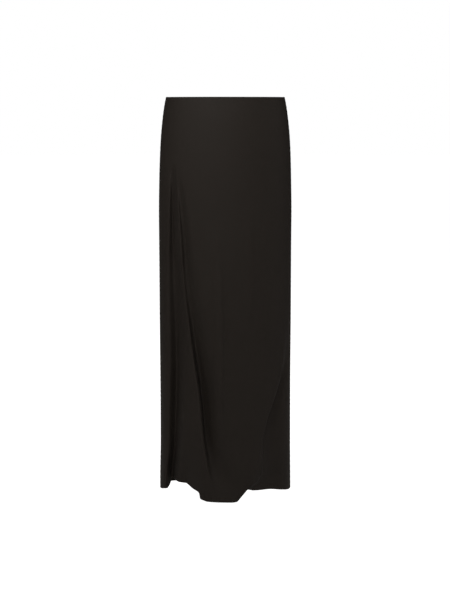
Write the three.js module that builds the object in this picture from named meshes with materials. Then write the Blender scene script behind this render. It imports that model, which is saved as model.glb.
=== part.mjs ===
// A maxi skirt in soft black crepe: an open tube of two panels, worn smooth at the hips and draped below.
// Millimetres, +Z up, the front faces -Y, +X is the viewer's right, the origin is the middle of the waist.
import * as THREE from 'three';

// Driving sizes
const WALL = 1;
const SEAM_GAP = 0.3;
const BACK_HEM_DROP = 1060;
const LOWEST_DROP = 1075;
const FRONT_COLUMNS = 94;
const BACK_COLUMNS = 38;
const LEVEL_ROWS = 21;
const LEVEL_FOOT = 940;
const HEM_ROWS = 9;
const MIDDLE_HEM_DROP = 1050;
const CLOTH_COLOUR = 0x231f1c;

// The body of the skirt: how far it stands out to each side of the middle, at each drop below the waist
const LEVELS = [
  { drop: 0, left: 156, right: 156.5, front: 96, back: 94 },
  { drop: 16, left: 159.5, right: 160, front: 98, back: 97 },
  { drop: 55, left: 165.3, right: 165.8, front: 103, back: 106 },
  { drop: 107, left: 170.4, right: 171, front: 107, back: 118 },
  { drop: 160, left: 173.3, right: 173.7, front: 110, back: 125 },
  { drop: 213, left: 175.2, right: 175.2, front: 112, back: 127 },
  { drop: 320, left: 176.9, right: 177.1, front: 114, back: 126 },
  { drop: 535, left: 176.4, right: 176.6, front: 117, back: 124 },
  { drop: 755, left: 176, right: 176, front: 121, back: 123 },
  { drop: 922, left: 176, right: 176.4, front: 125, back: 123 },
  { drop: 1035, left: 178, right: 178.2, front: 128, back: 124 },
  { drop: 1075, left: 178.2, right: 179, front: 129, back: 124 },
];

// The soft trough near the left side seam: its place across the front, its depth and its half width
const VALLEY = [
  { drop: 175, place: -136.5, depth: 0, width: 6 },
  { drop: 225, place: -136.5, depth: 9, width: 6 },
  { drop: 272, place: -137, depth: 14.5, width: 6.5 },
  { drop: 379, place: -136.5, depth: 21, width: 9 },
  { drop: 487, place: -132.5, depth: 27, width: 14.5 },
  { drop: 595, place: -128.5, depth: 34, width: 16.5 },
  { drop: 705, place: -127, depth: 37, width: 16.5 },
  { drop: 816, place: -130, depth: 41, width: 15.5 },
  { drop: 928, place: -135, depth: 37, width: 12.5 },
  { drop: 1012, place: -143.5, depth: 42, width: 11 },
  { drop: 1075, place: -144.5, depth: 44, width: 11 },
];
const LEFT_LAP = [
  { drop: 205, edge: -127, width: 5, lean: 0, depth: 0, reach: 8 },
  { drop: 240, edge: -123.5, width: 6, lean: 3, depth: 4.5, reach: 7 },
  { drop: 300, edge: -119, width: 7.5, lean: 4, depth: 8.5, reach: 8 },
  { drop: 367, edge: -113.5, width: 8.5, lean: 5, depth: 12, reach: 10 },
  { drop: 472, edge: -109, width: 11, lean: 6.5, depth: 18, reach: 15 },
  { drop: 631, edge: -89, width: 12.5, lean: 10, depth: 24, reach: 25 },
  { drop: 792, edge: -66, width: 13.5, lean: 17, depth: 30, reach: 31 },
  { drop: 901, edge: -56, width: 14, lean: 18, depth: 27, reach: 32 },
  { drop: 975, edge: -43, width: 14.5, lean: 12, depth: 17, reach: 36 },
  { drop: 1030, edge: -30, width: 15, lean: 4, depth: 7, reach: 44 },
  { drop: 1075, edge: -24, width: 15, lean: 0, depth: 0, reach: 48 },
];
const RIGHT_LAP = [
  { drop: 600, edge: 163, width: 6, lean: 0, depth: 0, reach: 10 },
  { drop: 690, edge: 157, width: 7, lean: 7, depth: 9, reach: 12 },
  { drop: 743, edge: 147, width: 8, lean: 13, depth: 18, reach: 18 },
  { drop: 797, edge: 131, width: 9, lean: 17, depth: 24, reach: 28 },
  { drop: 851, edge: 113, width: 10, lean: 18, depth: 22, reach: 36 },
  { drop: 906, edge: 102, width: 11, lean: 15, depth: 16, reach: 42 },
  { drop: 950, edge: 99, width: 11, lean: 10, depth: 11, reach: 46 },
  { drop: 990, edge: 99, width: 10, lean: 8, depth: 10, reach: 48 },
  { drop: 1008, edge: 93, width: 10.5, lean: 6, depth: 13, reach: 52 },
  { drop: 1033, edge: 65, width: 12.5, lean: 2, depth: 14, reach: 64 },
  { drop: 1075, edge: 22, width: 13, lean: 0, depth: 14, reach: 90 },
];
const LAPS = [LEFT_LAP, RIGHT_LAP];
// Where the roll back of a lapping fold starts and ends, in widths of its bend
const ROLL_START = -0.3;
const ROLL_END = 2;
// The furthest that the edge stands from the middle of the bend, in widths, and the least lean that counts
const CREST_LIMIT = 0.7;
const LEAST_LEAN = 0.01;

// Broad hollows that open in the lower front, each full at its foot
const FRONT_HOLLOWS = [
  { place: -104, width: 34, top: 880, foot: 1060, depth: 26 },
  { place: 124, width: 34, top: 700, foot: 1060, depth: 24 },
];

// Soft upright ridges in the middle of the front
const FRONT_RIDGES = [
  { place: -21, foot: -20, top: 330, end: 930, height: 5, width: 12 },
  { place: 65, foot: 72, top: 280, end: 600, height: 1.8, width: 12 },
];

// The cloth above a slanting drag line, from the middle of the waist to the right hip, sits a little back
const DRAG = { place: 12, slope: 0.62, spread: 34, depth: 2.2, start: 40, side: 165, full: 120 };

// Soft flutes down the back
const BACK_FLUTES = [
  { place: -118, width: 26, top: 230, depth: 26 },
  { place: -46, width: 30, top: 330, depth: 16 },
  { place: 52, width: 32, top: 300, depth: 20 },
  { place: 124, width: 24, top: 250, depth: 28 },
];
// How much of a flute's growth is eased, and the share of its width that it starts with
const FLUTE_EASE = 0.6;
const FLUTE_START = 0.45;

// The cut of the front hem, from the left side seam to the right one
const FRONT_HEM = [
  { place: -180, drop: 1060 },
  { place: -166, drop: 1051 },
  { place: -155, drop: 1049 },
  { place: -150, drop: 1043 },
  { place: -146.5, drop: 1033 },
  { place: -143, drop: 1027 },
  { place: -136, drop: 1025 },
  { place: -105, drop: 1027 },
  { place: -99, drop: 1031 },
  { place: -89, drop: 1038.5 },
  { place: -73, drop: 1044 },
  { place: -70.5, drop: 1048 },
  { place: -68, drop: 1062 },
  { place: -50, drop: 1066 },
  { place: 32, drop: 1067 },
  { place: 58, drop: 1034 },
  { place: 64, drop: 1037 },
  { place: 72, drop: 1041 },
  { place: 118, drop: 1047.5 },
  { place: 157, drop: 1053.5 },
  { place: 180, drop: 1060 },
];
const HEM_HALF_WIDTH = 178;

// Where the front's columns stand closer: along each fold, and at the steps of the hem at its foot
const VALLEY_CROWD = [
  { drop: 0, place: -136, spread: 11 },
  { drop: 487, place: -133, spread: 17 },
  { drop: 816, place: -131, spread: 20 },
  { drop: 1012, place: -145, spread: 18 },
  { drop: 1075, place: -146, spread: 17 },
];
const LEFT_CROWD = [
  { drop: 0, place: -122, spread: 14 },
  { drop: 240, place: -119, spread: 13 },
  { drop: 367, place: -113, spread: 17 },
  { drop: 472, place: -112, spread: 20 },
  { drop: 631, place: -98, spread: 24 },
  { drop: 792, place: -80, spread: 28 },
  { drop: 901, place: -68, spread: 28 },
  { drop: 975, place: -52, spread: 27 },
  { drop: 1030, place: -48, spread: 27 },
  { drop: 1075, place: -56, spread: 25 },
];
const RIGHT_CROWD = [
  { drop: 0, place: 152, spread: 13 },
  { drop: 600, place: 156, spread: 12 },
  { drop: 690, place: 152, spread: 13 },
  { drop: 743, place: 142, spread: 15 },
  { drop: 797, place: 124, spread: 18 },
  { drop: 851, place: 106, spread: 20 },
  { drop: 906, place: 97, spread: 20 },
  { drop: 990, place: 95, spread: 19 },
  { drop: 1008, place: 86, spread: 19 },
  { drop: 1033, place: 76, spread: 19 },
  { drop: 1075, place: 66, spread: 24 },
];
const FRONT_CROWDS = [
  { rows: VALLEY_CROWD, columns: 10 },
  { rows: LEFT_CROWD, columns: 24 },
  { rows: RIGHT_CROWD, columns: 17 },
];
const ANGLE_SAMPLES = 1440;
const SIDE_EASE = 0.12;
const ROWS = LEVEL_ROWS + HEM_ROWS;

// Smooth step from 0 at low to 1 at high
function ease(low, high, at) {
  const share = Math.min(Math.max((at - low) / (high - low), 0), 1);
  return share * share * (3 - 2 * share);
}

// Bell of height 1 round a centre
function bell(at, centre, width) {
  const share = (at - centre) / width;
  return Math.exp(-share * share);
}

// Slopes of a curve through a table's column that never overshoots its rows
function steadySlopes(rows, column) {
  const gaps = [];
  const rises = [];
  for (let i = 0; i + 1 < rows.length; i += 1) {
    gaps.push(rows[i + 1].drop - rows[i].drop);
    rises.push((rows[i + 1][column] - rows[i][column]) / gaps[i]);
  }
  const slopes = [rises[0]];
  for (let i = 1; i < rises.length; i += 1) {
    const before = 2 * gaps[i] + gaps[i - 1];
    const after = gaps[i] + 2 * gaps[i - 1];
    const turns = rises[i - 1] * rises[i] <= 0;
    slopes.push(turns ? 0 : (before + after) / (before / rises[i - 1] + after / rises[i]));
  }
  slopes.push(rises[rises.length - 1]);
  return slopes;
}

// A function that reads one column of a table at any drop
function reader(rows, column) {
  const slopes = steadySlopes(rows, column);
  return (drop) => {
    const at = Math.min(Math.max(drop, rows[0].drop), rows[rows.length - 1].drop);
    let i = 0;
    while (i + 2 < rows.length && at > rows[i + 1].drop) {
      i += 1;
    }
    const gap = rows[i + 1].drop - rows[i].drop;
    const t = (at - rows[i].drop) / gap;
    const start = (1 + 2 * t) * (1 - t) * (1 - t) * rows[i][column];
    const leave = t * (1 - t) * (1 - t) * gap * slopes[i];
    const end = t * t * (3 - 2 * t) * rows[i + 1][column];
    const arrive = t * t * (t - 1) * gap * slopes[i + 1];
    return start + leave + end + arrive;
  };
}

// One reader for each named column of a table
function readers(rows, columns) {
  return Object.fromEntries(columns.map((column) => [column, reader(rows, column)]));
}

const levelAt = readers(LEVELS, ['left', 'right', 'front', 'back']);
const valleyAt = readers(VALLEY, ['place', 'depth', 'width']);
const lapsAt = LAPS.map((rows) => readers(rows, ['edge', 'width', 'lean', 'depth', 'reach']));
const frontCrowds = FRONT_CROWDS.map(({ rows, columns }) => ({
  columns,
  ...readers(rows, ['place', 'spread']),
}));

// How far a lapping fold moves the cloth to the right and back at a place across the front
function lapShift(lap, place, drop) {
  const width = lap.width(drop);
  const lean = lap.lean(drop);
  const bend = width / (2 * Math.max(lean, LEAST_LEAN));
  const crest = Math.min(CREST_LIMIT, bend * (1 + bend * bend));
  const centre = lap.edge(drop) - crest * width - lean * Math.exp(-crest * crest);
  const lowest = centre + ROLL_END * width;
  const roll = ease(centre + ROLL_START * width, lowest, place);
  const back = place < lowest ? roll : bell(place, lowest, lap.reach(drop));
  return { side: lean * bell(place, centre, width), back: lap.depth(drop) * back };
}

// How far the small ridges, the drag line and the broad hollows move the front back
function frontRelief(place, drop) {
  let back = 0;
  for (const ridge of FRONT_RIDGES) {
    const share = Math.min(Math.max((drop - ridge.top) / (ridge.end - ridge.top), 0), 1);
    const line = ridge.place + (ridge.foot - ridge.place) * share;
    back -= ridge.height * Math.sin(Math.PI * share) * bell(place, line, ridge.width);
  }
  const above = ease(0, DRAG.spread, (place - DRAG.place) * DRAG.slope - drop);
  back += DRAG.depth * above * ease(DRAG.place, DRAG.start, place) * ease(DRAG.side, DRAG.full, place);
  for (const hollow of FRONT_HOLLOWS) {
    back += hollow.depth * ease(hollow.top, hollow.foot, drop) * bell(place, hollow.place, hollow.width);
  }
  return back;
}

// How far the flutes of the back draw the cloth in
function backRelief(place, drop) {
  let inwards = 0;
  for (const flute of BACK_FLUTES) {
    const along = Math.min(Math.max((drop - flute.top) / (LOWEST_DROP - flute.top), 0), 1);
    const grown = FLUTE_EASE * ease(0, 1, along) + (1 - FLUTE_EASE) * along;
    const width = flute.width * (FLUTE_START + (1 - FLUTE_START) * grown);
    inwards += flute.depth * grown * bell(place, flute.place, width);
  }
  return inwards;
}

// The outer face of the cloth at an angle round the body, 0 at the right side seam and PI at the left one
function clothPoint(angle, drop) {
  const half = (levelAt.left(drop) + levelAt.right(drop)) / 2;
  const middle = (levelAt.right(drop) - levelAt.left(drop)) / 2;
  const place = half * Math.cos(angle);
  const outward = Math.sin(angle);
  const gate = ease(0, SIDE_EASE, Math.abs(outward));
  if (outward < 0) {
    const y = -levelAt.back(drop) * outward - gate * backRelief(place, drop);
    return new THREE.Vector3(middle + place, y, -drop);
  }
  let across = place;
  let back = valleyAt.depth(drop) * bell(place, valleyAt.place(drop), valleyAt.width(drop));
  for (const lap of lapsAt) {
    const shift = lapShift(lap, place, drop);
    across += gate * shift.side;
    back += shift.back;
  }
  back += frontRelief(across, drop);
  const round = Math.sqrt(Math.max(0, 1 - (across / half) ** 2));
  return new THREE.Vector3(middle + across, gate * back - levelAt.front(drop) * round, -drop);
}

// The drop of the hem at an angle
function hemDrop(angle) {
  if (Math.sin(angle) <= 0) {
    return BACK_HEM_DROP;
  }
  const place = HEM_HALF_WIDTH * Math.cos(angle);
  let i = 0;
  while (i + 2 < FRONT_HEM.length && place > FRONT_HEM[i + 1].place) {
    i += 1;
  }
  const from = FRONT_HEM[i];
  const to = FRONT_HEM[i + 1];
  return from.drop + ((to.drop - from.drop) * (place - from.place)) / (to.place - from.place);
}

// The way out of the cloth at a point, level with the seam plane at a side seam
function clothNormal(angle, drop, atSeam) {
  const step = 0.002;
  const rise = 0.5;
  const round = clothPoint(angle + step, drop).sub(clothPoint(angle - step, drop));
  const down = clothPoint(angle, drop + rise).sub(clothPoint(angle, drop - rise));
  const normal = round.cross(down);
  if (atSeam) {
    normal.y = 0;
  }
  return normal.normalize();
}

// Angles of one row's columns between two side seams: even, with some more round each crowd
function columnAngles(from, to, count, crowds, drop) {
  const crowded = crowds.reduce((sum, crowd) => sum + crowd.columns, 0);
  const half = levelAt.left(drop);
  const places = crowds.map((crowd) => ({
    at: crowd.place(drop),
    spread: crowd.spread(drop),
    columns: crowd.columns,
  }));
  const angles = [];
  const total = [];
  for (let i = 0; i <= ANGLE_SAMPLES; i += 1) {
    const share = i / ANGLE_SAMPLES;
    const angle = from + (to - from) * share;
    let sum = (count - crowded) * share;
    for (const crowd of places) {
      sum -= 0.5 * crowd.columns * Math.tanh((half * Math.cos(angle) - crowd.at) / crowd.spread);
    }
    angles.push(angle);
    total.push(sum);
  }
  const chosen = [];
  let i = 0;
  for (let column = 0; column <= count; column += 1) {
    const wanted = total[0] + ((total[ANGLE_SAMPLES] - total[0]) * column) / count;
    while (i + 1 < ANGLE_SAMPLES && total[i + 1] < wanted) {
      i += 1;
    }
    const share = Math.min(Math.max((wanted - total[i]) / (total[i + 1] - total[i]), 0), 1);
    chosen.push(angles[i] + (angles[i + 1] - angles[i]) * share);
  }
  return chosen;
}

// The drop of a row whose column ends at that hem: level rows, then a band that closes on the hem
function rowDrop(row, hem) {
  if (row <= LEVEL_ROWS) {
    return (LEVEL_FOOT * row) / LEVEL_ROWS;
  }
  return LEVEL_FOOT + ((hem - LEVEL_FOOT) * (row - LEVEL_ROWS)) / HEM_ROWS;
}

// Outer and inner points of a panel, row by row from the waist to the hem
function panelPoints(from, to, columnCount, crowds, seamSide) {
  const outer = [];
  const inner = [];
  for (let row = 0; row <= ROWS; row += 1) {
    const angles = columnAngles(from, to, columnCount, crowds, rowDrop(row, MIDDLE_HEM_DROP));
    angles.forEach((angle, column) => {
      const atSeam = column === 0 || column === columnCount;
      const drop = rowDrop(row, hemDrop(angle));
      const point = clothPoint(angle, drop);
      const normal = clothNormal(angle, drop, atSeam);
      if (atSeam) {
        point.y = (seamSide * SEAM_GAP) / 2;
      }
      if (row === 0) {
        normal.z = 0;
        normal.normalize();
      }
      outer.push(point);
      inner.push(point.clone().addScaledVector(normal, -WALL));
    });
  }
  return { outer, inner };
}

// A closed wall of cloth between two side seams
function clothPanel(name, from, to, columnCount, crowds, seamSide) {
  const { outer, inner } = panelPoints(from, to, columnCount, crowds, seamSide);
  const columns = columnCount + 1;
  const offset = outer.length;
  const positions = [...outer, ...inner].flatMap((point) => [point.x, point.y, point.z]);
  const faces = [];
  const quad = (a, b, c, d) => faces.push(a, b, c, a, c, d);
  const at = (row, column) => row * columns + column;
  for (let row = 0; row < ROWS; row += 1) {
    for (let column = 0; column + 1 < columns; column += 1) {
      const a = at(row, column);
      const b = at(row, column + 1);
      const c = at(row + 1, column + 1);
      const d = at(row + 1, column);
      quad(a, b, c, d);
      quad(a + offset, d + offset, c + offset, b + offset);
    }
    const last = columns - 1;
    quad(at(row, 0), at(row + 1, 0), at(row + 1, 0) + offset, at(row, 0) + offset);
    quad(at(row + 1, last), at(row, last), at(row, last) + offset, at(row + 1, last) + offset);
  }
  for (let column = 0; column + 1 < columns; column += 1) {
    quad(at(0, column + 1), at(0, column), at(0, column) + offset, at(0, column + 1) + offset);
    const foot = at(ROWS, column);
    quad(foot, foot + 1, foot + 1 + offset, foot + offset);
  }
  const geometry = new THREE.BufferGeometry();
  geometry.setAttribute('position', new THREE.Float32BufferAttribute(positions, 3));
  geometry.setIndex(faces);
  geometry.computeVertexNormals();
  const cloth = new THREE.MeshStandardMaterial({ color: CLOTH_COLOUR, roughness: 0.6, metalness: 0 });
  const mesh = new THREE.Mesh(geometry, cloth);
  mesh.name = name;
  return mesh;
}

const skirt = new THREE.Group();
skirt.add(clothPanel('front_panel', 0, Math.PI, FRONT_COLUMNS, frontCrowds, -1));
skirt.add(clothPanel('back_panel', Math.PI, 2 * Math.PI, BACK_COLUMNS, [], 1));

export default skirt;
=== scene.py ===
"""A maxi skirt in soft black crepe, hung from the waist: two sheets of cloth with turned edges and stitches.

The tables are in millimetres, as a maker would write them, and the meshes are in metres. +Z is up, the
front faces -Y, and the origin is the middle of the open waist.
"""

import logging
import math
from collections.abc import Sequence
from dataclasses import dataclass, field
from enum import Enum
from typing import NamedTuple

import bpy
import numpy as np
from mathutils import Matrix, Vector


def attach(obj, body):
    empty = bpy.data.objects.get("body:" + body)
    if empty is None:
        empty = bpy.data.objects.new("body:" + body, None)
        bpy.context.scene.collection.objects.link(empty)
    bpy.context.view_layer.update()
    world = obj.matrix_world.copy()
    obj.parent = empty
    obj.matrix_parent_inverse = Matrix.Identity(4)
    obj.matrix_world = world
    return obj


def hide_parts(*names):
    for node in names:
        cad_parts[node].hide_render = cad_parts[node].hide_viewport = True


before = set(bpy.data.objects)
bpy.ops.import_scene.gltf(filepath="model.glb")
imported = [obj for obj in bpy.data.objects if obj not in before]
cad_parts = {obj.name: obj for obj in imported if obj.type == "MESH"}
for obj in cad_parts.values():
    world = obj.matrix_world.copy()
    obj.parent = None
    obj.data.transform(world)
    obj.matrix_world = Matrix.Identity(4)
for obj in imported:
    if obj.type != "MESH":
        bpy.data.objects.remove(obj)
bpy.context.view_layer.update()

LOG = logging.getLogger("maxi_skirt")
MM = 0.001
Array = np.ndarray
Socket = bpy.types.NodeSocket
Colour = tuple[float, float, float, float]
Place = tuple[float, float, float]
WHITE: Colour = (1.0, 1.0, 1.0, 1.0)


class Side(Enum):
    """The two sheets that the skirt is cut in."""

    FRONT = "front"
    BACK = "back"


class Level(NamedTuple):
    """The body of the skirt at one drop: how far it stands out from the middle."""

    drop: float
    left: float
    right: float
    front: float
    back: float


class Trough(NamedTuple):
    """A soft trough at one drop: its place across the front, its depth and its half width."""

    drop: float
    place: float
    depth: float
    width: float


class Lap(NamedTuple):
    """A fold that laps to the right at one drop.

    The place of its edge, the width of its bend, how far the cloth leans over, the depth of the hollow
    behind the edge and how far that hollow reaches to the right.
    """

    drop: float
    edge: float
    width: float
    lean: float
    depth: float
    reach: float


class Hollow(NamedTuple):
    """A broad hollow that grows from its top to its foot."""

    place: float
    width: float
    top: float
    foot: float
    depth: float


class Ridge(NamedTuple):
    """A soft upright ridge: its place at the top and at the foot, its ends, its height and half width."""

    place: float
    foot: float
    top: float
    end: float
    height: float
    width: float


class Flute(NamedTuple):
    """A soft flute of the back, growing from its top to the hem."""

    place: float
    width: float
    top: float
    depth: float


class HemMark(NamedTuple):
    """One point of the hem's cut: the drop at a place across the front."""

    place: float
    drop: float


class Crowd(NamedTuple):
    """Where columns of the sheet stand closer at one drop, and over what spread."""

    drop: float
    place: float
    spread: float


class Crowding(NamedTuple):
    """A line down the sheet that extra columns crowd round: their count, and the line's rows."""

    count: int
    rows: tuple[Crowd, ...]


LEVELS = (
    Level(0, 156, 156.5, 96, 94),
    Level(16, 159.5, 160, 98, 97),
    Level(55, 165.3, 165.8, 103, 106),
    Level(107, 170.4, 171, 107, 118),
    Level(160, 173.3, 173.7, 110, 125),
    Level(213, 175.2, 175.2, 112, 127),
    Level(320, 176.9, 177.1, 114, 126),
    Level(535, 176.4, 176.6, 117, 124),
    Level(755, 176, 176, 121, 123),
    Level(922, 176, 176.4, 125, 123),
    Level(1035, 178, 178.2, 128, 124),
    Level(1075, 178.2, 179, 129, 124),
)
VALLEY = (
    Trough(175, -136.5, 0, 6),
    Trough(225, -136.5, 9, 6),
    Trough(272, -137, 14.5, 6.5),
    Trough(379, -136.5, 21, 9),
    Trough(487, -132.5, 27, 14.5),
    Trough(595, -128.5, 34, 16.5),
    Trough(705, -127, 37, 16.5),
    Trough(816, -130, 41, 15.5),
    Trough(928, -135, 37, 12.5),
    Trough(1012, -143.5, 42, 11),
    Trough(1075, -144.5, 44, 11),
)
LEFT_LAP = (
    Lap(205, -127, 5, 0, 0, 8),
    Lap(240, -123.5, 6, 3, 4.5, 7),
    Lap(300, -119, 7.5, 4, 8.5, 8),
    Lap(367, -113.5, 8.5, 5, 12, 10),
    Lap(472, -109, 11, 6.5, 18, 15),
    Lap(631, -89, 12.5, 10, 24, 25),
    Lap(792, -66, 13.5, 17, 30, 31),
    Lap(901, -56, 14, 18, 27, 32),
    Lap(975, -43, 14.5, 12, 17, 36),
    Lap(1030, -30, 15, 4, 7, 44),
    Lap(1075, -24, 15, 0, 0, 48),
)
RIGHT_LAP = (
    Lap(600, 163, 6, 0, 0, 10),
    Lap(690, 157, 7, 7, 9, 12),
    Lap(743, 147, 8, 13, 18, 18),
    Lap(797, 131, 9, 17, 24, 28),
    Lap(851, 113, 10, 18, 22, 36),
    Lap(906, 102, 11, 15, 16, 42),
    Lap(950, 99, 11, 10, 11, 46),
    Lap(990, 99, 10, 8, 10, 48),
    Lap(1008, 93, 10.5, 6, 13, 52),
    Lap(1033, 65, 12.5, 2, 14, 64),
    Lap(1075, 22, 13, 0, 14, 90),
)
FRONT_HOLLOWS = (
    Hollow(-104, 34, 880, 1060, 26),
    Hollow(124, 34, 700, 1060, 24),
)
FRONT_RIDGES = (
    Ridge(-21, -20, 330, 930, 5, 12),
    Ridge(65, 72, 280, 600, 1.8, 12),
)
BACK_FLUTES = (
    Flute(-118, 26, 230, 26),
    Flute(-46, 30, 330, 16),
    Flute(52, 32, 300, 20),
    Flute(124, 24, 250, 28),
)
FRONT_HEM = (
    HemMark(-180, 1060),
    HemMark(-166, 1051),
    HemMark(-155, 1049),
    HemMark(-150, 1043),
    HemMark(-146.5, 1033),
    HemMark(-143, 1027),
    HemMark(-136, 1025),
    HemMark(-105, 1027),
    HemMark(-99, 1031),
    HemMark(-89, 1038.5),
    HemMark(-73, 1044),
    HemMark(-70.5, 1048),
    HemMark(-68, 1062),
    HemMark(-50, 1066),
    HemMark(32, 1067),
    HemMark(58, 1034),
    HemMark(64, 1037),
    HemMark(72, 1041),
    HemMark(118, 1047.5),
    HemMark(157, 1053.5),
    HemMark(180, 1060),
)
VALLEY_CROWD = (
    Crowd(0, -135, 14),
    Crowd(487, -134, 19),
    Crowd(816, -132, 22),
    Crowd(1012, -145, 20),
    Crowd(1075, -146, 19),
)
LEFT_CROWD = (
    Crowd(0, -122, 16),
    Crowd(240, -119, 15),
    Crowd(367, -113, 19),
    Crowd(472, -112, 22),
    Crowd(631, -98, 26),
    Crowd(792, -80, 30),
    Crowd(901, -68, 30),
    Crowd(975, -52, 29),
    Crowd(1030, -48, 29),
    Crowd(1075, -56, 27),
)
MIDDLE_CROWD = (
    Crowd(0, -6, 22),
    Crowd(1075, -6, 22),
)
RIGHT_CROWD = (
    Crowd(0, 152, 15),
    Crowd(600, 156, 14),
    Crowd(690, 152, 15),
    Crowd(743, 142, 17),
    Crowd(797, 124, 20),
    Crowd(851, 106, 22),
    Crowd(906, 97, 22),
    Crowd(990, 95, 21),
    Crowd(1008, 86, 21),
    Crowd(1033, 76, 21),
    Crowd(1075, 66, 26),
)


def ease(low: float | Array, high: float | Array, at: Array) -> Array:
    """Smooth step: t * t * (3 - 2 t) of the share t of the way from low to high.

    Args:
        low: where the step is 0.
        high: where the step is 1.
        at: where it is read.

    Returns:
        The step's height at each place.
    """
    share = np.clip((at - low) / (high - low), 0.0, 1.0)
    return share * share * (3.0 - 2.0 * share)


def bell(at: Array, centre: float | Array, width: float | Array) -> Array:
    """Bell of height 1: e to the minus of the squared distance from the centre in widths."""
    return np.exp(-(((at - centre) / width) ** 2))


@dataclass(frozen=True)
class SteadyCurve:
    """A smooth curve through one column of a table that never overshoots its rows."""

    at: Array
    value: Array
    slope: Array

    @classmethod
    def through(cls, rows: Sequence[NamedTuple], column: str) -> "SteadyCurve":
        """Fits the curve: each inner slope is the weighted harmonic mean of its neighbours' rises.

        Args:
            rows: the table's rows, each with a drop.
            column: the column that the curve follows.

        Returns:
            The curve.
        """
        at = np.array([row.drop for row in rows], float)
        value = np.array([getattr(row, column) for row in rows], float)
        gap = np.diff(at)
        rise = np.diff(value) / gap
        slope = np.concatenate([rise[:1], np.zeros(len(rise) - 1), rise[-1:]])
        before = 2.0 * gap[1:] + gap[:-1]
        after = gap[1:] + 2.0 * gap[:-1]
        same = rise[:-1] * rise[1:] > 0.0
        first = np.where(same, rise[:-1], 1.0)
        second = np.where(same, rise[1:], 1.0)
        slope[1:-1] = np.where(same, (before + after) / (before / first + after / second), 0.0)
        return cls(at, value, slope)

    def __call__(self, drop: Array) -> Array:
        """Reads the curve: a cubic between rows from their values and slopes, level outside the table.

        Args:
            drop: where it is read.

        Returns:
            The curve's value at each drop.
        """
        at = np.clip(drop, self.at[0], self.at[-1])
        row = np.clip(np.searchsorted(self.at, at) - 1, 0, len(self.at) - 2)
        gap = self.at[row + 1] - self.at[row]
        t = (at - self.at[row]) / gap
        start = (1.0 + 2.0 * t) * (1.0 - t) ** 2 * self.value[row]
        leave = t * (1.0 - t) ** 2 * gap * self.slope[row]
        end = t * t * (3.0 - 2.0 * t) * self.value[row + 1]
        arrive = t * t * (t - 1.0) * gap * self.slope[row + 1]
        return start + leave + end + arrive


def curves(rows: Sequence[NamedTuple]) -> dict[str, SteadyCurve]:
    """One curve for each column of a table but its drop."""
    return {name: SteadyCurve.through(rows, name) for name in rows[0]._fields if name != "drop"}


@dataclass(frozen=True)
class DragLine:
    """A slanting drag line from the middle of the waist to the right hip; the cloth above it sits back."""

    place: float = 12.0
    slope: float = 0.62
    spread: float = 34.0
    depth: float = 2.2
    start: float = 40.0
    side: float = 165.0
    full: float = 120.0

    def depth_at(self, place: Array, drop: Array) -> Array:
        """How far back the cloth sits: full depth above the line, eased at it and at both ends.

        Args:
            place: the cloth's place across the front.
            drop: its drop below the waist.

        Returns:
            The shift back.
        """
        above = ease(0.0, self.spread, (place - self.place) * self.slope - drop)
        near = ease(self.place, self.start, place)
        far = ease(self.side, self.full, place)
        return self.depth * above * near * far


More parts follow.
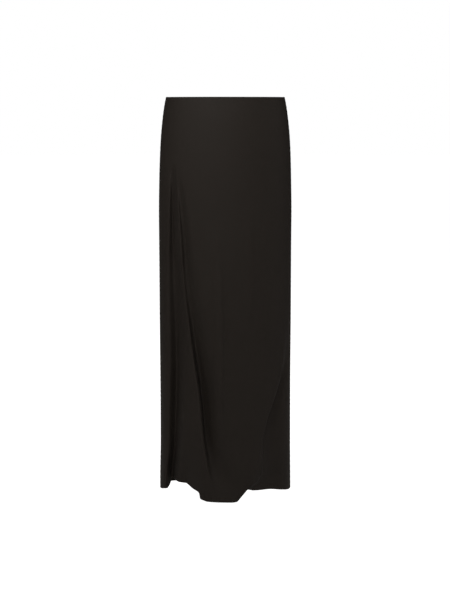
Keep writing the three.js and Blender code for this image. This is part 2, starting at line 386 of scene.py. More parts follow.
@dataclass
class SkirtForm:
    """The outer face of the skirt, as a surface of an angle round the body and a drop below the waist.

    The angle is 0 at the right side seam, half a turn at the left one, and the front lies between.
    """

    hem_half_width: float = 178.0
    back_hem: float = 1060.0
    lowest: float = 1075.0
    side_ease: float = 0.12
    roll_start: float = -0.3
    roll_end: float = 2.0
    crest_limit: float = 0.7
    least_lean: float = 0.01
    flute_ease: float = 0.6
    flute_start: float = 0.45
    drag: DragLine = DragLine()
    body: dict[str, SteadyCurve] = field(default_factory=lambda: curves(LEVELS))
    valley: dict[str, SteadyCurve] = field(default_factory=lambda: curves(VALLEY))
    laps: list[dict[str, SteadyCurve]] = field(default_factory=lambda: [curves(LEFT_LAP), curves(RIGHT_LAP)])

    def lap_shift(self, lap: dict[str, SteadyCurve], place: Array, drop: Array) -> tuple[Array, Array]:
        """How a lapping fold moves the cloth.

        The cloth leans to the right by a bell, and rolls back behind the bell's crest by an eased step
        that dies away to the right as a wider bell.

        Args:
            lap: the fold's curves.
            place: the cloth's place across the front.
            drop: its drop below the waist.

        Returns:
            The shift to the right and the shift back.
        """
        width = lap["width"](drop)
        lean = lap["lean"](drop)
        bend = width / (2.0 * np.maximum(lean, self.least_lean))
        crest = np.minimum(self.crest_limit, bend * (1.0 + bend * bend))
        centre = lap["edge"](drop) - crest * width - lean * np.exp(-crest * crest)
        lowest = centre + self.roll_end * width
        roll = ease(centre + self.roll_start * width, lowest, place)
        back = np.where(place < lowest, roll, bell(place, lowest, lap["reach"](drop)))
        return lean * bell(place, centre, width), lap["depth"](drop) * back

    def front_relief(self, place: Array, drop: Array) -> Array:
        """How far back the ridges, the drag line and the broad hollows move the front.

        A ridge is a bell across, as high as half a sine wave along it. A hollow is a bell across, eased
        from its top to its foot.

        Args:
            place: the cloth's place across the front.
            drop: its drop below the waist.

        Returns:
            The shift back.
        """
        back = self.drag.depth_at(place, drop)
        for ridge in FRONT_RIDGES:
            share = np.clip((drop - ridge.top) / (ridge.end - ridge.top), 0.0, 1.0)
            line = ridge.place + (ridge.foot - ridge.place) * share
            back = back - ridge.height * np.sin(math.pi * share) * bell(place, line, ridge.width)
        for hollow in FRONT_HOLLOWS:
            grown = ease(hollow.top, hollow.foot, drop)
            back = back + hollow.depth * grown * bell(place, hollow.place, hollow.width)
        return back

    def back_relief(self, place: Array, drop: Array) -> Array:
        """How far in the flutes draw the back: bells across that grow deeper and wider towards the hem.

        Args:
            place: the cloth's place across the back.
            drop: its drop below the waist.

        Returns:
            The shift in.
        """
        inwards = np.zeros(np.shape(place))
        for flute in BACK_FLUTES:
            along = np.clip((drop - flute.top) / (self.lowest - flute.top), 0.0, 1.0)
            grown = self.flute_ease * ease(0.0, 1.0, along) + (1.0 - self.flute_ease) * along
            width = flute.width * (self.flute_start + (1.0 - self.flute_start) * grown)
            inwards = inwards + flute.depth * grown * bell(place, flute.place, width)
        return inwards

    def point(self, angle: Array, drop: Array) -> Array:
        """The outer face: half an oval in front and half behind, with the folds laid on them.

        Args:
            angle: the angle round the body.
            drop: the drop below the waist.

        Returns:
            Points in mm, with x, y and z on the last axis.
        """
        body = {name: curve(drop) for name, curve in self.body.items()}
        half = (body["left"] + body["right"]) / 2.0
        middle = (body["right"] - body["left"]) / 2.0
        place = half * np.cos(angle)
        outward = np.sin(angle)
        gate = ease(0.0, self.side_ease, np.abs(outward))
        y_back = -body["back"] * outward - gate * self.back_relief(place, drop)
        valley = {name: curve(drop) for name, curve in self.valley.items()}
        across = place
        back = valley["depth"] * bell(place, valley["place"], valley["width"])
        for lap in self.laps:
            side, behind = self.lap_shift(lap, place, drop)
            across = across + gate * side
            back = back + behind
        back = back + self.front_relief(across, drop)
        arch = np.sqrt(np.maximum(0.0, 1.0 - (across / half) ** 2))
        y_front = gate * back - body["front"] * arch
        is_front = outward >= 0.0
        x = middle + np.where(is_front, across, place)
        return np.stack([x, np.where(is_front, y_front, y_back), -drop], axis=-1)

    def normal(self, angle: Array, drop: Array, step: float = 0.002, rise: float = 0.5) -> Array:
        """The way out of the cloth: the cross product of small moves round the body and down it.

        Args:
            angle: the angle round the body.
            drop: the drop below the waist.
            step: the small move of the angle.
            rise: the small move of the drop.

        Returns:
            Unit vectors on the last axis.
        """
        around = self.point(angle + step, drop) - self.point(angle - step, drop)
        down = self.point(angle, drop + rise) - self.point(angle, drop - rise)
        cross = np.cross(around, down)
        return cross / np.linalg.norm(cross, axis=-1, keepdims=True)

    def hem(self, angle: Array) -> Array:
        """The hem: level behind, and straight lines between the hem's marks in front.

        Args:
            angle: the angle round the body.

        Returns:
            The hem's drop at each angle.
        """
        place = self.hem_half_width * np.cos(angle)
        front = np.interp(place, [mark.place for mark in FRONT_HEM], [mark.drop for mark in FRONT_HEM])
        return np.where(np.sin(angle) > 0.0, front, self.back_hem)


class Ripple(NamedTuple):
    """One slow wave of the cloth's unevenness: waves across and down per metre, height and phase."""

    across: float
    down: float
    height: float
    phase: float


@dataclass(frozen=True)
class SoftCreases:
    """Small creases that stand on the form: slow waves, puckers at the side seams and a pressed line."""

    ripples: tuple[Ripple, ...] = (
        Ripple(2.3, 0.8, 0.45, 0.4),
        Ripple(4.1, -1.1, 0.30, 2.1),
        Ripple(6.7, 0.6, 0.20, 4.4),
        Ripple(3.2, 2.6, 0.22, 1.3),
    )
    start: float = 120.0
    full: float = 520.0
    pucker_height: float = 0.22
    pucker_length: float = 13.0
    pucker_reach: float = 9.0
    pucker_swerve: float = 3.0
    swerve_length: float = 47.0
    crease_place: float = -10.0
    crease_top: float = 400.0
    crease_end: float = 960.0
    crease_height: float = 9.0
    crease_rise: float = 30.0
    crease_fall: float = 15.0

    def height(self, place: Array, from_seam: Array, drop: Array) -> Array:
        """How far the cloth stands out of the form.

        Slow sine waves that grow down the skirt, short sine puckers that fade away from the seams, and
        an upright crease with a long rise on its left and a short fall on its right.

        Args:
            place: the cloth's place across the skirt.
            from_seam: its distance from the nearer side seam.
            drop: its drop below the waist.

        Returns:
            The height in mm.
        """
        total = np.zeros(np.shape(place))
        for wave in self.ripples:
            turn = 2.0 * math.pi * (wave.across * place + wave.down * drop) * MM + wave.phase
            total = total + wave.height * np.sin(turn)
        total = total * ease(self.start, self.full, drop)
        swerve = self.pucker_swerve * np.sin(drop / self.swerve_length)
        pull = np.sin(2.0 * math.pi * drop / self.pucker_length + swerve)
        total = total + self.pucker_height * pull * bell(from_seam, 0.0, self.pucker_reach)
        share = np.clip((drop - self.crease_top) / (self.crease_end - self.crease_top), 0.0, 1.0)
        away = place - self.crease_place
        slope = np.where(away < 0.0, away / self.crease_rise, -away / self.crease_fall)
        return total + self.crease_height * np.sin(math.pi * share) * np.exp(slope)


@dataclass(frozen=True)
class Turning:
    """An edge of cloth turned to the inside: a round bend, then a strip that lies against the cloth."""

    width: float
    radius: float = 0.7
    bend_steps: int = 4
    lie_steps: int = 3

    def profile(self) -> tuple[Array, Array]:
        """The turning's section: half a circle from the face, then a straight run to the raw edge.

        Returns:
            The distance back from the edge and the depth inside the face, at each step.
        """
        around = np.linspace(0.0, math.pi, self.bend_steps + 1)
        lie = np.linspace(self.radius, self.width, self.lie_steps + 1)[1:]
        from_edge = np.concatenate([self.radius * (1.0 - np.sin(around)), lie])
        inset = np.concatenate([self.radius * (1.0 - np.cos(around)), np.full(len(lie), 2.0 * self.radius)])
        return from_edge, inset


def smooth_mesh(name: str, points: Array, faces: Array) -> bpy.types.Mesh:
    """A smooth-shaded mesh.

    Args:
        name: the mesh's name.
        points: the points in mm, one row each.
        faces: the corners of each face.

    Returns:
        The mesh, in metres.
    """
    mesh = bpy.data.meshes.new(name)
    mesh.from_pydata((points * MM).tolist(), [], faces.tolist())
    mesh.polygons.foreach_set("use_smooth", np.ones(len(faces), bool))
    mesh.update()
    return mesh


def place_piece(mesh: bpy.types.Mesh, material: bpy.types.Material) -> bpy.types.Object:
    """Puts a mesh in the scene as a piece that rides on the skirt.

    Args:
        mesh: the piece's mesh, already in its place.
        material: its finish.

    Returns:
        The piece.
    """
    piece = bpy.data.objects.new(mesh.name, mesh)
    bpy.context.scene.collection.objects.link(piece)
    mesh.materials.append(material)
    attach(piece, "root")
    return piece


@dataclass
class ClothSheet:
    """One sheet of the skirt, cut with its turnings and seam allowances and folded along its edges."""

    side: Side
    name: str
    node: str
    form: SkirtForm
    creases: SoftCreases
    columns: int
    crowds: tuple[Crowding, ...] = ()
    level_rows: int = 150
    level_foot: float = 940.0
    hem_rows: int = 30
    middle_hem: float = 1050.0
    thickness: float = 0.5
    waist: Turning = Turning(width=22.0)
    hem: Turning = Turning(width=20.0)
    seam: Turning = Turning(width=12.0)
    solver_steps: int = 40

    @property
    def start(self) -> float:
        """The angle of the sheet's first side seam."""
        return 0.0 if self.side is Side.FRONT else math.pi

    def row_plan(self) -> tuple[Array, Array, Array]:
        """Every row of the sheet from the raw edge at the waist to the raw edge at the hem.

        A row's drop is a level plus a share of the hem's drop: the share is 0 down to the foot of the
        level rows, rises to 1 at the hem, and stays 1 up the hem's turning.

        Returns:
            The level, the share of the hem and the depth inside the face, for each row.
        """
        waist_drop, waist_inset = self.waist.profile()
        hem_back, hem_inset = self.hem.profile()
        levels = np.linspace(self.waist.radius, self.level_foot, self.level_rows + 1)[1:]
        share = np.linspace(0.0, 1.0, self.hem_rows + 1)[1:-1]
        level = np.concatenate([waist_drop[::-1], levels, self.level_foot * (1.0 - share), -hem_back])
        of_hem = np.concatenate([np.zeros(len(waist_drop) + len(levels)), share, np.ones(len(hem_back))])
        flat = np.zeros(len(levels) + len(share))
        return level, of_hem, np.concatenate([waist_inset[::-1], flat, hem_inset])

    def main_angles(self, drop: Array, low: Array, high: Array) -> Array:
        """Angles of each row's columns between the two seam bends, closer together round each crowd.

        The count of columns passed is an even share of the way round plus a tanh step at each crowd;
        it is turned round by halving the interval.

        Args:
            drop: one nominal drop for each row.
            low: the angle where each row starts.
            high: the angle where it ends.

        Returns:
            The angles, a row of columns for each drop.
        """
        half = self.form.body["left"](drop)[:, None]
        crowded = sum(crowding.count for crowding in self.crowds)
        places = [(crowding.count, curves(crowding.rows)) for crowding in self.crowds]

        def passed(angle: Array) -> Array:
            """Counts the columns passed.

            Args:
                angle: angles, a row for each drop.

            Returns:
                The count at each angle.
            """
            total = (self.columns - crowded) * (angle - low[:, None]) / (high - low)[:, None]
            for count, crowd in places:
                at = crowd["place"](drop)[:, None]
                spread = crowd["spread"](drop)[:, None]
                total = total - 0.5 * count * np.tanh((half * np.cos(angle) - at) / spread)
            return total

        first = passed(low[:, None])
        last = passed(high[:, None])
        wanted = first + (last - first) * np.linspace(0.0, 1.0, self.columns + 1)
        below = np.broadcast_to(low[:, None], wanted.shape)
        above = np.broadcast_to(high[:, None], wanted.shape)
        for _ in range(self.solver_steps):
            angle = (below + above) / 2.0
            short = passed(angle) < wanted
            below = np.where(short, angle, below)
            above = np.where(short, above, angle)
        return (below + above) / 2.0

    def grid(self) -> tuple[Array, Array, Array]:
        """Angle, drop and depth inside the face of every point of the folded sheet.

        Returns:
            Three arrays, a row of columns from one raw side edge to the other for each row.
        """
        level, of_hem, row_inset = self.row_plan()
        nominal = np.clip(level + of_hem * self.middle_hem, 0.0, None)
        axis = self.form.body[self.side.value](nominal)
        low = self.start + self.seam.radius / axis
        high = self.start + math.pi - self.seam.radius / axis
        main = self.main_angles(nominal, low, high)
        from_seam, seam_inset = self.seam.profile()
        turned = from_seam[None, 1:] / axis[:, None]
        angle = np.concatenate([self.start + turned[:, ::-1], main, self.start + math.pi - turned], axis=1)
        inset = np.concatenate([seam_inset[:0:-1], np.zeros(self.columns + 1), seam_inset[1:]])
        drop = level[:, None] + of_hem[:, None] * self.form.hem(angle)
        return angle, drop, row_inset[:, None] + inset[None, :]

    def points(self) -> Array:
        """The folded sheet: the form's face, moved out by the creases and in by the turnings.

        Returns:
            The grid of points in mm.
        """
        angle, drop, inset = self.grid()
        axis = self.form.body[self.side.value](drop)
        place = self.form.body["left"](drop) * np.cos(angle)
        nearer = np.minimum(angle - self.start, self.start + math.pi - angle)
        height = self.creases.height(place, nearer * axis, drop)
        return self.form.point(angle, drop) + (height - inset)[..., None] * self.form.normal(angle, drop)

    def build(self, material: bpy.types.Material) -> bpy.types.Object:
        """Makes the sheet, lays its weave's coordinates along it and gives it its thickness.

        Args:
            material: the cloth.

        Returns:
            The piece, which stands for the panel's solid.
        """
        points = self.points()
        rows, columns = points.shape[:2]
        index = np.arange(rows * columns).reshape(rows, columns)
        corners = [index[:-1, :-1], index[:-1, 1:], index[1:, 1:], index[1:, :-1]]
        faces = np.stack(corners, axis=-1).reshape(-1, 4)
        mesh = smooth_mesh(self.name, points.reshape(-1, 3), faces)
        self.lay_weave(mesh, points, faces)
        piece = place_piece(mesh, material)
        wall = piece.modifiers.new("thickness", "SOLIDIFY")
        wall.thickness = self.thickness * MM
        wall.offset = -1.0
        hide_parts(self.node)
        return piece

    def lay_weave(self, mesh: bpy.types.Mesh, points: Array, faces: Array) -> None:
        """Gives the mesh coordinates in metres of cloth: across from the middle, and down from the top.

        They are the lengths of the grid's lines added up, so that the weave keeps its scale in folds.

        Args:
            mesh: the sheet's mesh.
            points: the grid of points.
            faces: the corners of each face.
        """
        across = np.linalg.norm(np.diff(points, axis=1), axis=2)
        along = np.zeros(points.shape[:2])
        along[:, 1:] = np.cumsum(across, axis=1)
        along -= along[:, along.shape[1] // 2, None]
        down = np.zeros(points.shape[:2])
        down[1:] = np.cumsum(np.linalg.norm(np.diff(points, axis=0), axis=2), axis=0)
        cloth = np.stack([along, down], axis=-1).reshape(-1, 2) * MM
        layer = mesh.uv_layers.new(name="cloth")
        layer.data.foreach_set("uv", cloth[faces.ravel()].astype(np.float32).ravel())


class Stitch(NamedTuple):
    """One kind of stitch: its length, its thread's thickness, its slant to the line and its sides."""

    length: float
    thickness: float
    slant: float
    sides: int = 5


class StitchRing(NamedTuple):
    """One ring of a stitch: its place along the stitch and its girth, as shares of the whole."""

    along: float
    girth: float


@dataclass
class StitchRun:
    """A run of small stitches along a line on the inside of the skirt."""

    name: str
    form: SkirtForm
    stitch: Stitch
    rings: tuple[StitchRing, ...] = (
        StitchRing(-0.5, 0.25),
        StitchRing(-0.38, 1.0),
        StitchRing(0.38, 1.0),
        StitchRing(0.5, 0.25),
    )

    def build(self, angle: Array, drop: Array, inset: Array, thread: bpy.types.Material) -> bpy.types.Object:
        """Makes one short capsule for each stitch, slanted a little to the line.

        A stitch is rings of points round its own axis: narrow at both ends and full in the middle.

        Args:
            angle: the angle round the body of each stitch.
            drop: its drop below the waist.
            inset: its depth inside the cloth's face.
            thread: the thread's finish.

        Returns:
            The piece.
        """
        normal = self.form.normal(angle, drop)
        middle = self.form.point(angle, drop) - inset[:, None] * normal
        line = np.gradient(middle, axis=0)
        line /= np.linalg.norm(line, axis=1, keepdims=True)
        cross = np.cross(normal, line)
        cross /= np.linalg.norm(cross, axis=1, keepdims=True)
        sides = self.stitch.sides
        turn = self.stitch.slant * np.where(np.arange(len(angle)) % 2 == 0, 1.0, -1.0)[:, None]
        axis = np.cos(turn) * line + np.sin(turn) * cross
        side = np.cross(normal, axis)
        along = np.array([ring.along for ring in self.rings]) * self.stitch.length
        girth = np.array([ring.girth for ring in self.rings]) * self.stitch.thickness / 2.0
        around = np.linspace(0.0, 2.0 * math.pi, sides, endpoint=False)
        out = np.cos(around)[:, None] * side[:, None, :] + np.sin(around)[:, None] * normal[:, None, :]
        rings = middle[:, None, None, :] + along[None, :, None, None] * axis[:, None, None, :]
        rings = rings + girth[None, :, None, None] * out[:, None, :, :]
        ring, corner = np.meshgrid(np.arange(len(self.rings) - 1), np.arange(sides), indexing="ij")
        after = (corner + 1) % sides
        near = ring * sides
        far = near + sides
        quads = np.stack([near + corner, near + after, far + after, far + corner], axis=-1).reshape(-1, 4)
        offset = np.arange(len(angle))[:, None, None] * (len(self.rings) * sides)
        faces = (quads[None] + offset).reshape(-1, 4)
        return place_piece(smooth_mesh(self.name, rings.reshape(-1, 3), faces), thread)


def add_node(tree: bpy.types.NodeTree, kind: str, **values: object) -> bpy.types.Node:
    """Adds a shader node and sets its properties.

    Args:
        tree: the tree it goes in.
        kind: the node's type.
        values: properties by name.

    Returns:
        The node.
    """
    node = tree.nodes.new(kind)
    for name, value in values.items():
        setattr(node, name, value)
    return node


def math_node(tree: bpy.types.NodeTree, operation: str, first: Socket, second: Socket | float) -> Socket:
    """A sum, product or other operation of two numbers.

    Args:
        tree: the tree it goes in.
        operation: the operation's name, such as ADD.
        first: the first number.
        second: the second number, or another node's output.

    Returns:
        The result's socket.
    """
    node = add_node(tree, "ShaderNodeMath", operation=operation)
    tree.links.new(first, node.inputs[0])
    if isinstance(second, Socket):
        tree.links.new(second, node.inputs[1])
    else:
        node.inputs[1].default_value = second
    return node.outputs[0]


def new_group(name: str, inputs: dict[str, float | None], outputs: Sequence[str]) -> bpy.types.NodeTree:
    """An empty shader group with its sockets and its two end nodes.

    Args:
        name: the group's name.
        inputs: each input's name and default; None makes it a vector.
        outputs: the names of its outputs, which are numbers.

    Returns:
        The group.
    """
    group = bpy.data.node_groups.new(name, "ShaderNodeTree")
    for socket_name, default in inputs.items():
        kind = "NodeSocketVector" if default is None else "NodeSocketFloat"
        socket = group.interface.new_socket(name=socket_name, in_out="INPUT", socket_type=kind)
        if default is not None:
            socket.default_value = default
    for socket_name in outputs:
        group.interface.new_socket(name=socket_name, in_out="OUTPUT", socket_type="NodeSocketFloat")
    add_node(group, "NodeGroupInput", name="start")
    add_node(group, "NodeGroupOutput", name="end")
    return group


@dataclass
class ClothGroups:
    """The effects that the cloth and the threads share, each built once."""

    cell_stretch: Place = (1.0, 0.55, 1.0)
    finer: float = 1.9
    grain_detail: float = 2.0
    tone_detail: float = 3.0
    grain: bpy.types.NodeTree = field(init=False)
    tone: bpy.types.NodeTree = field(init=False)

    def __post_init__(self) -> None:
        """Builds the groups."""
        self.grain = self.pebbled_grain()
        self.tone = self.uneven_tone()

    def pebbled_grain(self) -> bpy.types.NodeTree:
        """Crepe's pebbled grain: small cells, longer than wide, broken up by finer noise.

        Returns:
            The group: a height, and a tone of about 1.
        """
        inputs = {"Vector": None, "Pebbles": 1500.0, "Contrast": 0.2}
        group = new_group("pebbled_grain", inputs, ["Height", "Tone"])
        start = group.nodes["start"]
        end = group.nodes["end"]
        stretch = add_node(group, "ShaderNodeMapping")
        stretch.inputs["Scale"].default_value = self.cell_stretch
        group.links.new(start.outputs["Vector"], stretch.inputs["Vector"])
        cells = add_node(group, "ShaderNodeTexVoronoi", feature="SMOOTH_F1")
        group.links.new(stretch.outputs["Vector"], cells.inputs["Vector"])
        group.links.new(start.outputs["Pebbles"], cells.inputs["Scale"])
        fine = add_node(group, "ShaderNodeTexNoise")
        fine.inputs["Detail"].default_value = self.grain_detail
        group.links.new(start.outputs["Vector"], fine.inputs["Vector"])
        fine_scale = math_node(group, "MULTIPLY", start.outputs["Pebbles"], self.finer)
        group.links.new(fine_scale, fine.inputs["Scale"])
        height = math_node(group, "SUBTRACT", fine.outputs["Fac"], cells.outputs["Distance"])
        group.links.new(height, end.inputs["Height"])
        swing = math_node(group, "MULTIPLY", height, start.outputs["Contrast"])
        group.links.new(math_node(group, "ADD", swing, 1.0), end.inputs["Tone"])
        return group

    def uneven_tone(self) -> bpy.types.NodeTree:
        """Slow changes of tone over the cloth, as dye and handling leave them.

        Returns:
            The group: a tone of about 1.
        """
        group = new_group("uneven_tone", {"Vector": None, "Patches": 9.0, "Contrast": 0.12}, ["Tone"])
        start = group.nodes["start"]
        end = group.nodes["end"]
        patches = add_node(group, "ShaderNodeTexNoise")
        patches.inputs["Detail"].default_value = self.tone_detail
        group.links.new(start.outputs["Vector"], patches.inputs["Vector"])
        group.links.new(start.outputs["Patches"], patches.inputs["Scale"])
        centred = math_node(group, "SUBTRACT", patches.outputs["Fac"], 0.5)
        swing = math_node(group, "MULTIPLY", centred, start.outputs["Contrast"])
        group.links.new(math_node(group, "ADD", swing, 1.0), end.inputs["Tone"])
        return group


@dataclass(frozen=True)
class FibreFinish:
    """What the cloth and its thread share: a colour broken up by a grain and by slow patches."""

    name: str
    colour: Colour
    roughness: float
    pebbles: float
    grain_contrast: float
    patches: float
    patch_contrast: float

    def new_material(self) -> tuple[bpy.types.Material, bpy.types.Node]:
        """Makes a plain material of the finish's name.

        Returns:
            The material and its shader.
        """
        material = bpy.data.materials.new(self.name)
        material.use_nodes = True
        return material, material.node_tree.nodes["Principled BSDF"]

    def lay_colour(self, material: bpy.types.Material, groups: ClothGroups, place: Socket) -> bpy.types.Node:
        """Gives the shader the finish's colour, times the tones of the grain and the patches.

        Args:
            material: the material, with its shader.
            groups: the shared effects.
            place: the coordinates that the grain and the patches follow.

        Returns:
            The grain's node.
        """
        tree = material.node_tree
        grain = add_node(tree, "ShaderNodeGroup", node_tree=groups.grain)
        grain.inputs["Pebbles"].default_value = self.pebbles
        grain.inputs["Contrast"].default_value = self.grain_contrast
        tree.links.new(place, grain.inputs["Vector"])
        tone = add_node(tree, "ShaderNodeGroup", node_tree=groups.tone)
        tone.inputs["Patches"].default_value = self.patches
        tone.inputs["Contrast"].default_value = self.patch_contrast
        tree.links.new(place, tone.inputs["Vector"])
        both = math_node(tree, "MULTIPLY", grain.outputs["Tone"], tone.outputs["Tone"])
        tint = add_node(tree, "ShaderNodeVectorMath", operation="SCALE")
        tint.inputs[0].default_value = self.colour[:3]
        tree.links.new(both, tint.inputs["Scale"])
        tree.links.new(tint.outputs["Vector"], tree.nodes["Principled BSDF"].inputs["Base Color"])
        return grain


@dataclass(frozen=True)
class CrepeFinish(FibreFinish):
    """Soft black-brown crepe: nearly matt, with a faint satin glow and a pebbled grain."""

    name: str = "black_crepe"
    colour: Colour = (0.026, 0.0212, 0.0175, 1.0)
    roughness: float = 0.62
    pebbles: float = 1500.0
    grain_contrast: float = 0.25
    patches: float = 7.0
    patch_contrast: float = 0.16
    roughness_swing: float = 0.1
    specular: float = 0.22
    sheen: float = 0.02
    sheen_roughness: float = 0.5
    grain_depth: float = 0.00008
    grain_strength: float = 1.0

    def material(self, groups: ClothGroups) -> bpy.types.Material:
        """Makes the cloth's material on the sheet's own coordinates.

        Args:
            groups: the shared effects.

        Returns:
            The material.
        """
        material, shader = self.new_material()
        tree = material.node_tree
        shader.inputs["Specular IOR Level"].default_value = self.specular
        shader.inputs["Sheen Weight"].default_value = self.sheen
        shader.inputs["Sheen Roughness"].default_value = self.sheen_roughness
        cloth = add_node(tree, "ShaderNodeUVMap", uv_map="cloth")
        grain = self.lay_colour(material, groups, cloth.outputs["UV"])
        rough = math_node(tree, "MULTIPLY", grain.outputs["Height"], self.roughness_swing)
        tree.links.new(math_node(tree, "ADD", rough, self.roughness), shader.inputs["Roughness"])
        bump = add_node(tree, "ShaderNodeBump")
        bump.inputs["Strength"].default_value = self.grain_strength
        bump.inputs["Distance"].default_value = self.grain_depth
        tree.links.new(grain.outputs["Height"], bump.inputs["Height"])
        tree.links.new(bump.outputs["Normal"], shader.inputs["Normal"])
        return material


@dataclass(frozen=True)
class ThreadFinish(FibreFinish):
    """Black sewing thread, a little glossier than the cloth."""

    name: str = "sewing_thread"
    colour: Colour = (0.03, 0.026, 0.023, 1.0)
    roughness: float = 0.45
    pebbles: float = 2600.0
    grain_contrast: float = 0.5
    patches: float = 40.0
    patch_contrast: float = 0.2

    def material(self, groups: ClothGroups) -> bpy.types.Material:
        """Makes the thread's material on the object's own coordinates.

        Args:
            groups: the shared effects.

        Returns:
            The material.
        """
        material, shader = self.new_material()
        shader.inputs["Roughness"].default_value = self.roughness
        place = add_node(material.node_tree, "ShaderNodeTexCoord")
        self.lay_colour(material, groups, place.outputs["Object"])
        return material


@dataclass
class Skirt:
    """The whole skirt: its two sheets and the stitches inside it.

    Pitches are the distances from stitch to stitch. The run along an edge is counted on a circle of
    its mean radius, starts a small angle from the seams and keeps its distance from the raw edge.
    """

    form: SkirtForm = field(default_factory=SkirtForm)
    front_creases: SoftCreases = SoftCreases()
    back_creases: SoftCreases = SoftCreases(crease_height=0.0)
    front_columns: int = 220
    back_columns: int = 130
    front_crowds: tuple[Crowding, ...] = (
        Crowding(26, VALLEY_CROWD),
        Crowding(54, LEFT_CROWD),
        Crowding(14, MIDDLE_CROWD),
        Crowding(36, RIGHT_CROWD),
    )
    hem_stitch: Stitch = Stitch(2.8, 0.34, 0.55)
    waist_stitch: Stitch = Stitch(2.6, 0.34, 0.5)
    serge_stitch: Stitch = Stitch(3.0, 0.3, 0.9, sides=4)
    hem_pitch: float = 8.0
    waist_pitch: float = 6.0
    serge_pitch: float = 3.2
    hem_mean_radius: float = 150.0
    waist_mean_radius: float = 130.0
    seam_clear_angle: float = 0.16
    raw_edge_distance: float = 1.5
    serge_edge_distance: float = 1.2
    serge_top_distance: float = 2.0
    serge_foot_angle: float = 0.1
    serge_wall_share: float = 0.9

    def front(self) -> ClothSheet:
        """The front sheet, with its columns crowded round the folds."""
        return ClothSheet(
            side=Side.FRONT,
            name="front_cloth",
            node="front_panel",
            form=self.form,
            creases=self.front_creases,
            columns=self.front_columns,
            crowds=self.front_crowds,
        )

    def back(self) -> ClothSheet:
        """The back sheet, with even columns and no pressed line."""
        return ClothSheet(
            side=Side.BACK,
            name="back_cloth",
            node="back_panel",
            form=self.form,
            creases=self.back_creases,
            columns=self.back_columns,
        )

    def edge_stitches(self, sheet: ClothSheet, material: bpy.types.Material) -> list[bpy.types.Object]:
        """Blind stitches that hold the turnings at the waist and the hem.

        Args:
            sheet: the sheet whose edges are held.
            material: the thread.

        Returns:
            The two pieces.
        """
        depth = sheet.waist.radius * 2.0 + sheet.thickness
        low = sheet.start + self.seam_clear_angle
        high = sheet.start + math.pi - self.seam_clear_angle
        waist_angle = np.linspace(low, high, int(math.pi * self.waist_mean_radius / self.waist_pitch))
        waist_drop = np.full(len(waist_angle), sheet.waist.width - self.raw_edge_distance)
        hem_angle = np.linspace(low, high, int(math.pi * self.hem_mean_radius / self.hem_pitch))
        hem_drop = self.form.hem(hem_angle) - sheet.hem.width + self.raw_edge_distance
        runs = (
            ("waist", self.waist_stitch, waist_angle, waist_drop),
            ("hem", self.hem_stitch, hem_angle, hem_drop),
        )
        pieces = []
        for edge, stitch, angle, drop in runs:
            run = StitchRun(f"{sheet.side.value}_{edge}_stitches", self.form, stitch)
            pieces.append(run.build(angle, drop, np.full(len(angle), depth), material))
        return pieces

    def serged_edges(self, sheet: ClothSheet, material: bpy.types.Material) -> list[bpy.types.Object]:
        """Overcast stitches along the raw edges of the two side seam allowances.

        Args:
            sheet: the sheet whose allowances are overcast.
            material: the thread.

        Returns:
            The two pieces.
        """
        foot = float(self.form.hem(np.array([sheet.start + self.serge_foot_angle]))[0]) - sheet.hem.width
        drop = np.arange(sheet.waist.width + self.serge_top_distance, foot, self.serge_pitch)
        axis = self.form.body[sheet.side.value](drop)
        reach = (sheet.seam.width - self.serge_edge_distance) / axis
        depth = np.full(len(drop), sheet.seam.radius * 2.0 + sheet.thickness * self.serge_wall_share)
        pieces = []
        for edge, angle in (("first", sheet.start + reach), ("last", sheet.start + math.pi - reach)):
            run = StitchRun(f"{sheet.side.value}_{edge}_seam_stitches", self.form, self.serge_stitch)
            pieces.append(run.build(angle, drop, depth, material))
        return pieces

    def build(self, cloth: bpy.types.Material, thread: bpy.types.Material) -> list[bpy.types.Object]:
        """Builds the sheets and their stitches.

        Args:
            cloth: the crepe.
            thread: the sewing thread.

        Returns:
            Every piece.
        """
        pieces = []
        for sheet in (self.front(), self.back()):
            pieces.append(sheet.build(cloth))
            pieces += self.edge_stitches(sheet, thread)
            pieces += self.serged_edges(sheet, thread)
        return pieces


@dataclass(frozen=True)
class SoftLight:
    """A square soft light that faces a point."""

    name: str
    place: Place
    aim: Place
    power: float
    size: float
    colour: tuple[float, float, float] = (1.0, 0.955, 0.92)

    def build(self) -> bpy.types.Object:
        """Puts the light in the scene.

        Returns:
            The lamp.
        """
        light = bpy.data.lights.new(self.name, "AREA")
        light.energy = self.power
        light.size = self.size
        light.color = self.colour
        lamp = bpy.data.objects.new(self.name, light)
        lamp.location = self.place
        way = Vector(self.aim) - Vector(self.place)
        lamp.rotation_euler = way.to_track_quat("-Z", "Y").to_euler()
        bpy.context.scene.collection.objects.link(lamp)
        return lamp


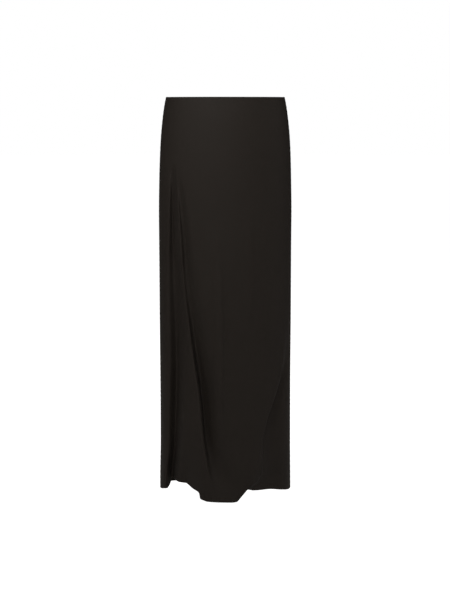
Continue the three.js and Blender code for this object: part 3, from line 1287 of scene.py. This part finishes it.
@dataclass
class Studio:
    """A pale floor and backdrop, soft lights and the camera."""

    floor_level: float = -1.12
    floor_size: float = 40.0
    floor_colour: Colour = (0.8, 0.8, 0.8, 1.0)
    floor_roughness: float = 0.9
    ambient: float = 0.011
    backdrop: float = 1.0
    camera_place: Place = (-0.0006, -3.77, 0.03)
    camera_tilt: float = 8.6106
    lens: float = 85.0
    sensor: float = 36.0
    lights: tuple[SoftLight, ...] = (
        SoftLight("key", (-0.55, -1.1, 0.45), (-0.05, 0.0, -0.12), 4.0, 0.45),
        SoftLight("front", (0.2, -2.6, 1.6), (0.0, 0.0, -0.3), 20.2, 1.6),
        SoftLight("low_front", (0.0, -3.0, -0.9), (0.0, 0.0, -0.6), 2.5, 1.6),
        SoftLight("right", (2.8, -0.6, 0.3), (0.0, 0.0, -0.4), 7.2, 1.8),
        SoftLight("high_right", (2.2, -0.8, 1.1), (0.0, 0.0, -0.1), 4.3, 1.2),
        SoftLight("high_left", (-2.2, -1.0, 1.0), (0.0, 0.0, -0.1), 9.0, 1.2),
        SoftLight("behind", (0.0, 3.4, 1.6), (0.0, 0.0, -0.5), 30.0, 1.0),
    )

    def build(self) -> None:
        """Builds the whole setting."""
        self.build_world()
        self.build_floor()
        self.build_camera()
        bpy.context.scene.view_settings.view_transform = "Standard"
        for light in self.lights:
            light.build()

    def build_world(self) -> None:
        """A pale world that the camera sees white and that lights the cloth only a little."""
        world = bpy.data.worlds.new("pale_room")
        bpy.context.scene.world = world
        world.use_nodes = True
        tree = world.node_tree
        shade = tree.nodes["Background"]
        shade.inputs["Color"].default_value = WHITE
        path = add_node(tree, "ShaderNodeLightPath")
        seen = math_node(tree, "MULTIPLY", path.outputs["Is Camera Ray"], self.backdrop - self.ambient)
        tree.links.new(math_node(tree, "ADD", seen, self.ambient), shade.inputs["Strength"])

    def build_floor(self) -> None:
        """A plain pale floor below the hem, seen as bright as the room behind it."""
        half = self.floor_size / 2.0 / MM
        level = self.floor_level / MM
        across = np.array([-half, half, half, -half])
        along = np.array([-half, -half, half, half])
        corners = np.stack([across, along, np.full(4, level)], axis=-1)
        mesh = smooth_mesh("floor", corners, np.array([[0, 1, 2, 3]]))
        floor = bpy.data.objects.new("floor", mesh)
        bpy.context.scene.collection.objects.link(floor)
        material = bpy.data.materials.new("pale_floor")
        material.use_nodes = True
        tree = material.node_tree
        shader = tree.nodes["Principled BSDF"]
        shader.inputs["Base Color"].default_value = self.floor_colour
        shader.inputs["Roughness"].default_value = self.floor_roughness
        shader.inputs["Emission Color"].default_value = WHITE
        path = add_node(tree, "ShaderNodeLightPath")
        tree.links.new(path.outputs["Is Camera Ray"], shader.inputs["Emission Strength"])
        mesh.materials.append(material)

    def build_camera(self) -> None:
        """A long lens just above the waist, looking a little down."""
        camera = bpy.data.cameras.new("camera")
        camera.lens = self.lens
        camera.sensor_width = self.sensor
        holder = bpy.data.objects.new("camera", camera)
        holder.location = self.camera_place
        holder.rotation_euler = (math.radians(90.0 - self.camera_tilt), 0.0, 0.0)
        bpy.context.scene.collection.objects.link(holder)
        bpy.context.scene.camera = holder


def write_sizes() -> None:
    """Brings the scene's view layer up to date."""
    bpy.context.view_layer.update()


def main() -> None:
    """Builds the skirt and its setting, and reports each piece."""
    logging.basicConfig(level=logging.INFO, format="%(name)s: %(message)s")
    groups = ClothGroups()
    cloth = CrepeFinish().material(groups)
    thread = ThreadFinish().material(groups)
    Studio().build()
    for piece in Skirt().build(cloth, thread):
        LOG.info("%s has %d faces", piece.name, len(piece.data.polygons))
    write_sizes()


if __name__ == "__main__":
    main()
